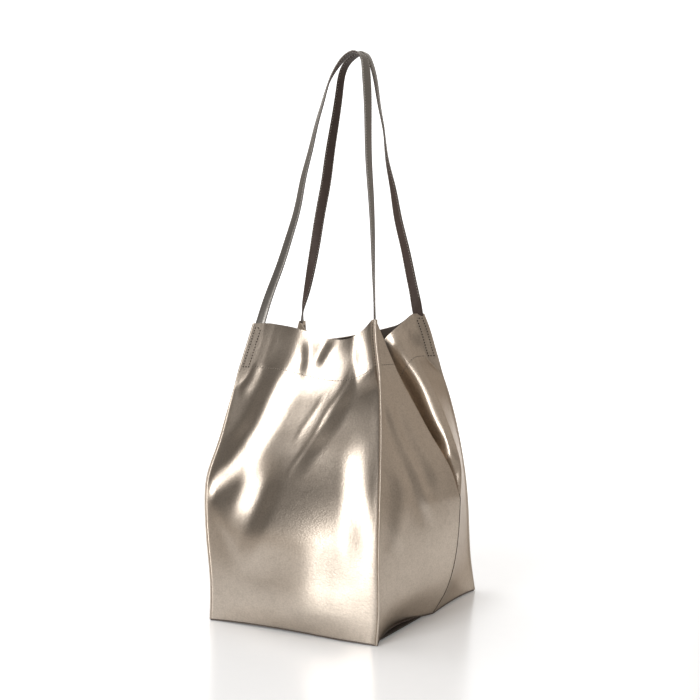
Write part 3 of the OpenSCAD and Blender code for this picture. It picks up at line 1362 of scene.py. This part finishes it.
HIDDEN_SIDE = {
    "side": Side.LEFT,
    "knee": (-126.0, 2.0, 126.0),
    "valley": (-31.0, 0.0, 250.0),
    "seam": tuple((-x, y, z) for x, y, z in GussetForm.seam),
}


@dataclass(frozen=True)
class Body:
    """Panels, gussets, facings, corner seams and base."""

    wardrobe: Wardrobe
    front: PanelForm = PanelForm(
        end=End.FRONT,
        rim_dip=20.0,
        rim_sink=3.0,
        belly=3.0,
        dip_place=0.7,
        foot=8.0,
        folds=(
            Fold(TURN, 9.0, 23.0, ((4, 335), (3, 300), (-1, 277), (-13, 255), (-27, 236)), 0.3, 0.6),
            Fold(TURN, 13.0, 12.0, (
                (-20, 262), (-28, 247), (-34, 232), (-39, 216), (-44, 196), (-52, 177), (-62, 160),
                (-79, 146), (-98, 132), (-120, 115), (-136, 102),
            ), 0.2),
            Fold(TURN, -15.0, 12.0, (
                (-40, 335), (-40, 290), (-44, 262), (-55, 240), (-61, 220), (-66, 200), (-76, 180),
                (-96, 160),
            ), 0.2),
            Fold(SLOPE, 11.0, 6.5, ((-58, 167), (-70, 157), (-82, 147), (-95, 136), (-108, 125)), 0.25),
            Fold(TURN, 18.0, 13.0, ((-47, 180), (-48, 158), (-50, 135), (-53, 112), (-57, 88)), 0.45),
            Fold(TURN, 14.0, 11.0, (
                (57, 206), (60, 178), (64, 157), (70, 130), (74, 103), (75, 75), (75, 50),
            ), 0.38, 1.2),
            Fold(TURN, 7.5, 18.0, (
                (71, 112), (72, 80), (74, 50), (77, 20), (80, -20), (80, -60),
            ), 0.35, 1.2),
            Fold(TURN, -21.0, 11.0, ((52, 335), (52, 300), (53, 275), (57, 250), (60, 215)), 0.55),
            Fold(TURN, -12.0, 13.0, ((-63, 335), (-63, 290), (-67, 262), (-76, 230)), 0.4),
            Fold(SLOPE, 4.5, 16.0, ((40, 118), (39, 90), (38, 65), (36, 40), (34, 5)), 0.5),
            Fold(TURN, -13.0, 9.0, (
                (34, 276), (35, 240), (29, 207), (19, 187), (9, 169), (1, 156), (-10, 143),
            ), 0.35),
            Fold(TURN, -12.0, 11.0, (
                (-18, 182), (-22, 150), (-26, 125), (-34, 98), (-48, 72), (-58, 50),
            ), 0.5),
            Fold(TURN, -12.0, 9.0, (
                (-104, 140), (-96, 124), (-88, 111), (-76, 95), (-64, 72), (-56, 50),
            ), 0.5),
            Fold(RIDGE, 0.4, 2.8, (
                (34, 262), (31, 244), (20, 221), (10, 193), (2, 173), (-8, 154), (-9, 143),
            )),
            Fold(RIDGE, 0.3, 3.2, ((10, 234), (4, 215), (-5, 195), (-9, 180))),
            Fold(TURN, -23.0, 5.5, ((-21, 289), (-20, 277), (-17, 259), (-20, 236)), 0.42),
            Fold(TURN, -26.0, 6.0, ((9, 291), (5, 278), (1, 266), (-7, 246)), 0.42),
            Fold(SLOPE, -13.0, 7.0, ((-77, 262), (-79, 250), (-84, 238), (-92, 228)), 0.3),
        ),
    )
    back: PanelForm = PanelForm(
        end=End.BACK,
        rim_dip=22.0,
        rim_sink=14.0,
        belly=4.0,
        dip_place=0.2,
        trough_power=0.5,
        foot=5.0,
        folds=(
            Fold(RIDGE, 2.0, 16.0, ((-30, 285), (-42, 240), (-58, 190), (-80, 150))),
            Fold(RIDGE, -1.6, 14.0, ((20, 280), (14, 235), (-5, 190), (-30, 150))),
            Fold(RIDGE, 1.8, 18.0, ((52, 250), (58, 200), (50, 150), (38, 110))),
        ),
    )
    gussets: tuple[GussetForm, ...] = (
        GussetForm(
            side=Side.RIGHT,
            end=End.FRONT,
            folds=(
                Fold(SLOPE, -14.0, 7.0, (
                    (-76, 240), (-72, 225), (-68, 205), (-65, 181), (-61, 154), (-53, 125), (-38, 98),
                )),
                Fold(SLOPE, -10.0, 9.0, ((-46, 225), (-44, 187), (-40, 166), (-36, 148), (-27, 128))),
                Fold(SLOPE, -9.0, 9.0, ((-84, 165), (-90, 132), (-96, 112), (-98, 80))),
            ),
        ),
        GussetForm(
            side=Side.RIGHT,
            end=End.BACK,
            crease_bow=(0.0, 9.5, 8.5, 4.0, -5.5, -10.0, 0.0),
            base_lift=1.0,
            base_draw=2.0,
            inner_folds=(
                Fold(RIDGE, 5.5, 13.0, (
                    (33, 300), (51, 264), (66, 245), (76, 231), (86, 214), (96, 196), (107, 180),
                    (116, 160), (121, 145),
                ), 0.15),
                Fold(RIDGE, -7.0, 9.0, (
                    (14, 290), (34, 262), (49, 243), (60, 229), (69, 214), (79, 196), (91, 178), (104, 158),
                ), 0.15),
            ),
        ),
        GussetForm(
            end=End.FRONT,
            **HIDDEN_SIDE,
            folds=(
                Fold(SLOPE, -9.0, 9.0, ((-66, 235), (-62, 205), (-56, 170), (-42, 130))),
                Fold(SLOPE, 7.0, 10.0, ((-88, 160), (-92, 130), (-94, 100), (-90, 70))),
            ),
        ),
        GussetForm(
            end=End.BACK,
            **HIDDEN_SIDE,
            folds=(
                Fold(SLOPE, 9.0, 9.0, ((64, 235), (60, 200), (50, 165), (36, 128))),
                Fold(SLOPE, -7.0, 10.0, ((90, 150), (92, 120), (90, 85), (82, 60))),
            ),
        ),
    )
    carrier: str = "bag"
    facing_gap: float = 0.15
    facing_skin: float = 0.8
    hem_stitch: StitchForm = StitchForm(width=0.5, height=0.35, hole=0.45)
    hem_lift: float = 0.1
    hem_points: int = 160
    box_stitch: StitchForm = StitchForm(length=1.7, width=0.8, height=0.6, hole=0.8)
    box_lift: float = 0.15
    box_span: tuple[float, float] = (0.25, 0.85)
    box_below_rim: float = 5.0
    box_points: tuple[int, int] = (40, 12)
    welt_radius: float = 0.8
    welt_growth: float = 0.9
    welt_stand: float = 0.75
    welt_rings: int = 120
    welt_sides: int = 10
    seam_radius: float = 0.5
    seam_sides: int = 6
    base_size: tuple[float, float] = (190.0, 240.0)
    base_cells: tuple[int, int] = (90, 110)
    base_floor: float = 0.1
    base_skin: float = 1.3
    base_roll: float = 9.0
    base_under: float = 0.6
    base_cord: float = 0.8
    base_cord_drop: float = 0.9

    def build(self) -> None:
        """Builds and dresses every piece."""
        walls = {}
        for form in (self.front, self.back, *self.gussets):
            wall = walls[form.name] = form.wall()
            self.sew_on(wall.piece(), "panel_leather", (Leather.FOIL, Leather.FLESH), form.name)
            self.facing(form, wall)
            self.hem(form, wall)
            self.strap_box(form, wall)
        for side in Side:
            self.centre_seam(side, walls)
        for corner in CORNERS.values():
            self.welt(corner)
        self.base(walls)
        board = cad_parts["base_board"].data.materials
        board.clear()
        board.append(self.wardrobe.made[Leather.BOARD])

    def sew_on(
        self, piece: Piece, slot: str, finishes: Sequence[Leather | Thread], node: str = ""
    ) -> None:
        """Dresses a piece that moves with the bag.

        Args:
            piece: the piece.
            slot: not used.
            finishes: its finishes, in the order of its material slots.
            node: the frame's node that it stands for, if there is one.
        """
        self.wardrobe.dress(piece, slot, *finishes)
        if node:
            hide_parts(node)
        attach(piece, self.carrier)

    def facing(self, form: PanelForm | GussetForm, wall: Wall) -> None:
        """Strip inside the rim, down to the hem line.

        Args:
            form: the panel's or gusset half's form.
            wall: its shape.
        """
        row, count = int(form.hem_row()), wall.grid.shape[1]
        at_first, at_last = form.flanges
        skip = form.edge_cols + 1
        cols = slice(skip if at_first else 0, count - skip if at_last else count)
        outside = form.skin + self.facing_gap
        outer, inner = (wall.inset(d)[row:, cols] for d in (outside, outside + self.facing_skin))
        node = form.name.replace("_panel", "_facing").replace("_gusset", "_facing")
        piece = sheet_piece(node + "_strip", outer, inner, wall.cut)
        # the facing's dark bronze is painted shade of the bag's inside
        self.sew_on(piece, "trim_leather", (Leather.INSIDE, Leather.INSIDE), node)

    def hem(self, form: PanelForm | GussetForm, wall: Wall) -> None:
        """Fine stitches along the hem line.

        Args:
            form: the panel's or gusset half's form.
            wall: its shape.
        """
        last, skip = wall.grid.shape[1] - 1, form.edge_cols + 2
        at_first, at_last = form.flanges
        ends = (skip if at_first else 1, last - skip if at_last else last - 1)
        cols = np.linspace(*ends, self.hem_points)
        line = wall.line(form.hem_row(), cols)
        stitches = self.hem_stitch.seam(form.name + "_hem_stitches", [line], self.hem_lift)
        self.sew_on(stitches, "trim_leather", (Thread.BRONZE, Thread.HOLE))

    def strap_box(self, form: PanelForm | GussetForm, wall: Wall) -> None:
        """Stitched rectangle over each strap end that the wall covers.

        Args:
            form: the panel's or gusset half's form.
            wall: its shape.
        """
        top, last = (size - 1 for size in wall.grid.shape[:2])
        bottom = form.hem_row()
        rim = top - (top - bottom) * self.box_below_rim / form.hem
        near, far = (share * (form.edge_cols - 1) for share in self.box_span)
        spans = ((near, far), (last - near, last - far))
        lines = []
        for a, b in (span for span, there in zip(spans, form.flanges) if there):
            up, over = np.linspace(bottom, rim, self.box_points[0]), np.linspace(a, b, self.box_points[1])
            lines += [wall.line(up, a), wall.line(up, b), wall.line(bottom, over), wall.line(rim, over)]
        stitches = self.box_stitch.seam(form.name + "_strap_stitches", lines, self.box_lift)
        self.sew_on(stitches, "trim_leather", (Thread.BRONZE, Thread.HOLE))

    def centre_seam(self, side: Side, walls: dict[str, Wall]) -> None:
        """Dark cord in the groove where the two halves of a gusset meet, as painted shade for the groove's
        shadow line.

        Args:
            side: the gusset's side.
            walls: the built walls by name.
        """
        word = side.name.lower()
        front, back = walls[f"{word}_gusset_front"], walls[f"{word}_gusset_back"]
        a, b = (-1, 0) if side is Side.RIGHT else (0, -1)
        middle = 0.5 * (front.grid[:, a] + back.grid[:, b])
        out = unit(front.normals[:, a] + back.normals[:, b])
        beside = unit(np.cross(unit(np.gradient(middle, axis=0)), out))
        rings = circles(middle, out, beside, self.seam_radius, self.seam_sides)
        self.sew_on(tube_piece(word + "_gusset_seam", rings), "trim_leather", (Thread.DARK,))

    def welt(self, corner: Corner) -> None:
        """Cord along a corner seam, wider where it binds the strap end's layers.

        Args:
            corner: the corner.
        """
        share = np.linspace(0.0, 1.0, self.welt_rings)
        out = -corner.inward(share)
        side = np.stack([-out[:, 1], out[:, 0], out[:, 2]], axis=-1)
        radius = self.welt_radius * (1 + self.welt_growth * corner.pinched(share)[:, None])
        centre = corner.point(share) + self.welt_stand * radius * out
        cord = tube_piece(corner.name + "_cord", circles(centre, out, side, radius, self.welt_sides))
        self.sew_on(cord, "trim_leather", (Leather.TRIM,), corner.name + "_welt")

    def base(self, walls: dict[str, Wall]) -> None:
        """Base leather between the walls' lower edges, and its seam cord.

        Args:
            walls: the built walls by name.
        """
        foot = {name: wall.grid[0] for name, wall in walls.items()}
        across, along = (np.linspace(0, 1, cells) for cells in self.base_cells)
        front = curve_through(foot["front_panel"]).at(across)
        back = curve_through(foot["back_panel"][::-1]).at(across)
        right = np.concatenate([foot["right_gusset_front"], foot["right_gusset_back"]])
        left = np.concatenate([foot["left_gusset_back"], foot["left_gusset_front"]])[::-1]
        lengths = [lengths_along(edge) for edge in (left, right)]
        left, right = (read_off(edge, at, along * at[-1]) for edge, at in zip((left, right), lengths))
        s, t = across[None, :, None], along[:, None, None]
        corners = (1 - s) * ((1 - t) * front[0] + t * back[0]) + s * ((1 - t) * front[-1] + t * back[-1])
        grid = (1 - t) * front[None] + t * back[None] + (1 - s) * left[:, None] + s * right[:, None]
        grid = grid - corners
        width, depth = self.base_size
        edge = np.minimum(np.minimum(s, 1 - s) * width, np.minimum(t, 1 - t) * depth)[..., 0]
        low = self.base_floor
        roll = np.exp(-((edge / self.base_roll) ** 2))
        grid[..., 2] = low + (grid[..., 2] - self.base_under - low) * roll
        under = grid[:, ::-1]
        piece = sheet_piece("base_leather", under, under + np.array([0, 0, self.base_skin]), Cut.WHOLE)
        self.sew_on(piece, "panel_leather", (Leather.FOIL, Leather.FLESH), "base_panel")
        loop = np.concatenate([front[:-1], right[:-1], back[:0:-1], left[:0:-1]])
        loop[:, 2] += self.base_cord - self.base_cord_drop
        cord = ring_piece("base_cord", loop, self.base_cord)
        # the cord's dark bronze is painted shade under the base edge
        self.sew_on(cord, "trim_leather", (Leather.INSIDE,), "base_welt")


@dataclass(frozen=True)
class Straps:
    """The two straps with their edge stitches; the hinge and the bend are in metres."""

    wardrobe: Wardrobe
    front: StrapForm = StrapForm(End.FRONT, (183.0, 121.0), (
        (-76.5, -44, 314, 176), (-71, -42, 331, 171), (-61.5, -38, 358, 167), (-52.5, -34, 388, 162),
        (-45, -29, 419, 156), (-40, -25, 451, 149), (-34, -21, 479, 142), (-29, -16, 508, 135),
        (-23, -13, 531, 130), (-17, -10, 552, 121), (-8, -8, 567, 108), (0, -7, 575, 98),
        (12, -6.2, 579, 90), (20, -7, 574, 80), (25, -9, 559, 70), (28, -12, 539, 71), (31, -16, 508, 80),
        (35, -22, 466, 86), (40, -27, 431, 91), (44, -31, 396, 99), (49, -38, 348, 110),
        (53, -44, 318, 119),
    ))
    back: StrapForm = StrapForm(End.BACK, (-75.0, 237.0), (
        (-82, 43.5, 314, -52), (-77, 41, 328, -32), (-68.5, 37, 354, -8), (-59.5, 33, 386, 13),
        (-50.5, 28, 418, 28), (-41, 24, 451, 42), (-34, 20, 480, 56), (-26, 16, 510, 68),
        (-17, 11, 545, 78), (-9, 8, 568, 84), (4, 6.5, 578, 88), (15, 6.3, 580, 92), (22, 7, 570, 96),
        (26, 10, 552, 100), (29, 13, 526, 107), (32, 17, 502, 114), (34, 21, 471, 126), (39, 25, 441, 146),
        (43, 29, 410, 161), (49, 34, 378, 168), (54, 38, 348, 175), (58, 42, 322, 192),
    ))
    stitch: StitchForm = StitchForm(width=0.5, height=0.3, hole=0.3)
    hinge_out: float = 0.0444
    bend: tuple[float, float] = (0.304, 0.332)

    def build(self) -> None:
        """Builds both straps with their edge stitches, in place of the frame's strap parts."""
        for form in (self.front, self.back):
            word = form.end.name.lower()
            band = self.wardrobe.dress(form.band(), "strap_leather", Leather.STRAP, Leather.LINING)
            stitches = self.stitch.seam(form.name + "_stitches", form.lines())
            self.wardrobe.dress(stitches, "strap_leather", Thread.PALE, Thread.HOLE)
            ends = [f"{word}_{side.name.lower()}_strap_end" for side in Side]
            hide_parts(f"{word}_strap", f"{word}_strap_lining", *ends)
            for piece in (band, stitches):
                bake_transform(piece)


# Studio


@dataclass(frozen=True)
class Lamp:
    """A soft rectangular lamp that faces the bag; its directions are degrees, and its sizes metres."""

    name: str
    around: float
    above: float
    distance: float
    width: float
    height: float
    radiance: float
    aim: Point = (0.0, 0.0, 0.2)

    def build(self) -> None:
        """Adds the lamp."""
        data = bpy.data.lights.new(self.name, "AREA")
        data.shape = "RECTANGLE"
        data.size, data.size_y = self.width, self.height
        data.energy = self.radiance * math.pi * self.width * self.height
        lamp = bpy.data.objects.new(self.name, data)
        bpy.context.scene.collection.objects.link(lamp)
        way = towards(self.around, self.above)
        lamp.location = tuple(c + self.distance * w for c, w in zip(self.aim, way))
        turn = math.radians(self.around) + math.pi / 2
        lamp.rotation_euler = (math.pi / 2 - math.radians(self.above), 0.0, turn)


@dataclass(frozen=True)
class Haze:
    """A soft patch of the studio's walls that is darker than the rest."""

    around: float
    above: float
    core: float
    reach: float
    change: float

    def add(self, n: Nodes, direction: Socket, value: Socket | float) -> Socket:
        """Adds the patch to a brightness.

        Args:
            n: builder of the world's nodes.
            direction: the direction that is looked at.
            value: the brightness so far.

        Returns:
            The brightness with the patch.
        """
        dot = n.add("VectorMath", {"operation": "DOT_PRODUCT"})
        for socket, vector in zip(dot.inputs, (direction, towards(self.around, self.above))):
            n.feed(socket, vector)
        edge, core = math.cos(math.radians(self.reach)), math.cos(math.radians(self.core))
        return n.math("ADD", value, n.spread(dot.outputs["Value"], edge, core, 0.0, self.change))


@dataclass(frozen=True)
class Studio:
    """White floor and backdrop, soft lamps, the room round them and the camera, in metres and degrees.

    The paper starts in front of the bag, runs level behind it and curves up. It is as wide as the
    camera's view and a margin; both grow with the distance from the camera.
    """

    camera_place: Point = (0.584, -1.0715, 0.324)
    camera_turn: float = 28.53
    camera_pitch: float = 2.5
    lens: float = 59.66
    sensor: float = 36.0
    lamps: tuple[Lamp, ...] = (
        Lamp("tall window", -95.0, 19.0, 2.6, 1.0, 3.6, 5.0),
        Lamp("overhead", 155.0, 72.0, 2.3, 1.6, 1.6, 3.1),
    )
    room: float = 0.52
    room_colour: Point = (1.0, 0.905, 0.81)
    hazes: tuple[Haze, ...] = (
        Haze(-145.0, 30.0, 14.0, 42.0, -0.42),
        Haze(-60.0, 20.0, 10.0, 35.0, -0.1),
        Haze(10.0, 5.0, 8.0, 30.0, -0.24),
    )
    paper: tuple[Point, Point] = ((0.87, 0.895, 0.925), (0.89, 0.915, 0.94))
    paper_grain: Point = (60.0, 3.0, 0.6)
    paper_gloss: float = 0.21
    glow_near: float = 0.1
    glow_far: float = 0.75
    glow_span: tuple[float, float] = (0.6, 1.3)
    floor_front: float = -0.4
    floor_back: float = 2.3
    floor_bend: float = 0.7
    bend_start: float = 0.1
    bend_steps: int = 12
    wall_top: float = 2.6
    floor_spread: float = 0.32
    floor_offset: float = 1.22
    floor_right: float = 0.72

    def build(self) -> None:
        """Builds the studio."""
        self.floor()
        for lamp in self.lamps:
            lamp.build()
        self.world()
        self.camera()
        bpy.context.scene.view_settings.view_transform = "Standard"
        LOG.info("studio: %d lamps", len(self.lamps))

    def paper_material(self) -> Material:
        """Paper that is white to the camera and in reflections.

        Returns:
            The material.
        """
        material, n = new_material("white paper")
        place = n.add("TexCoord").outputs["Object"]
        ray = n.add("LightPath").outputs
        seen = n.math("MAXIMUM", ray["Is Camera Ray"], ray["Is Glossy Ray"])
        seen = n.math("MAXIMUM", seen, ray["Is Transmission Ray"])
        depth = n.add("SeparateXYZ", Vector=place).outputs["Y"]
        glow = n.spread(depth, *self.glow_span, self.glow_near, self.glow_far)
        shader = n.add(
            "BsdfPrincipled",
            Base_Color=n.blend(n.noise(place, *self.paper_grain), *self.paper),
            Roughness=self.paper_gloss,
            Emission_Color=(1.0, 1.0, 1.0, 1.0),
            Emission_Strength=n.math("MULTIPLY", seen, glow),
        )
        n.add("OutputMaterial", Surface=shader.outputs[0])
        return material

    def floor(self) -> None:
        """Builds the paper sweep."""
        bend = self.floor_bend
        profile = [(self.floor_front, 0.0), (0.0, 0.0), (self.floor_back, 0.0)]
        angles = np.linspace(self.bend_start, math.pi / 2, self.bend_steps)
        profile += [(self.floor_back + bend * math.sin(a), bend - bend * math.cos(a)) for a in angles]
        profile += [(self.floor_back + bend, self.wall_top)]
        along, beside = plan_direction(self.camera_turn + 90), plan_direction(self.camera_turn)
        points = []
        for d, z in profile:
            reach = self.floor_spread * (self.floor_offset + d)
            for w in (-reach, max(self.floor_right, reach)):
                points.append(w * beside + d * along + np.array([0, 0, z]))
        faces = [(2 * k, 2 * k + 1, 2 * k + 3, 2 * k + 2) for k in range(len(profile) - 1)]
        floor = mesh_piece("paper_sweep", np.array(points) / MM, faces)
        floor.data.materials.append(self.paper_material())

    def world(self) -> None:
        """The room: even warm walls with softly darker sides."""
        world = bpy.data.worlds.new("studio")
        bpy.context.scene.world = world
        world.use_nodes = True
        n = Nodes(world.node_tree)
        direction = n.add("TexCoord").outputs["Generated"]
        value = self.room
        for haze in self.hazes:
            value = haze.add(n, direction, value)
        back = n.add("Background", Color=(*self.room_colour, 1.0), Strength=value)
        n.add("OutputWorld", Surface=back.outputs[0])

    def camera(self) -> None:
        """Camera at the photograph's angle and distance."""
        data = bpy.data.cameras.new("camera")
        data.sensor_width = self.sensor
        data.lens = self.lens
        camera = bpy.data.objects.new("camera", data)
        bpy.context.scene.collection.objects.link(camera)
        camera.location = self.camera_place
        camera.rotation_euler = (math.radians(90 - self.camera_pitch), 0.0, math.radians(self.camera_turn))
        bpy.context.scene.camera = camera


def main() -> None:
    """Builds the bag and the studio, in order."""
    logging.basicConfig(level=logging.INFO, format="%(name)s: %(message)s")
    wardrobe = Wardrobe()
    Body(wardrobe).build()
    Straps(wardrobe).build()
    Studio().build()


if __name__ == "__main__":
    main()
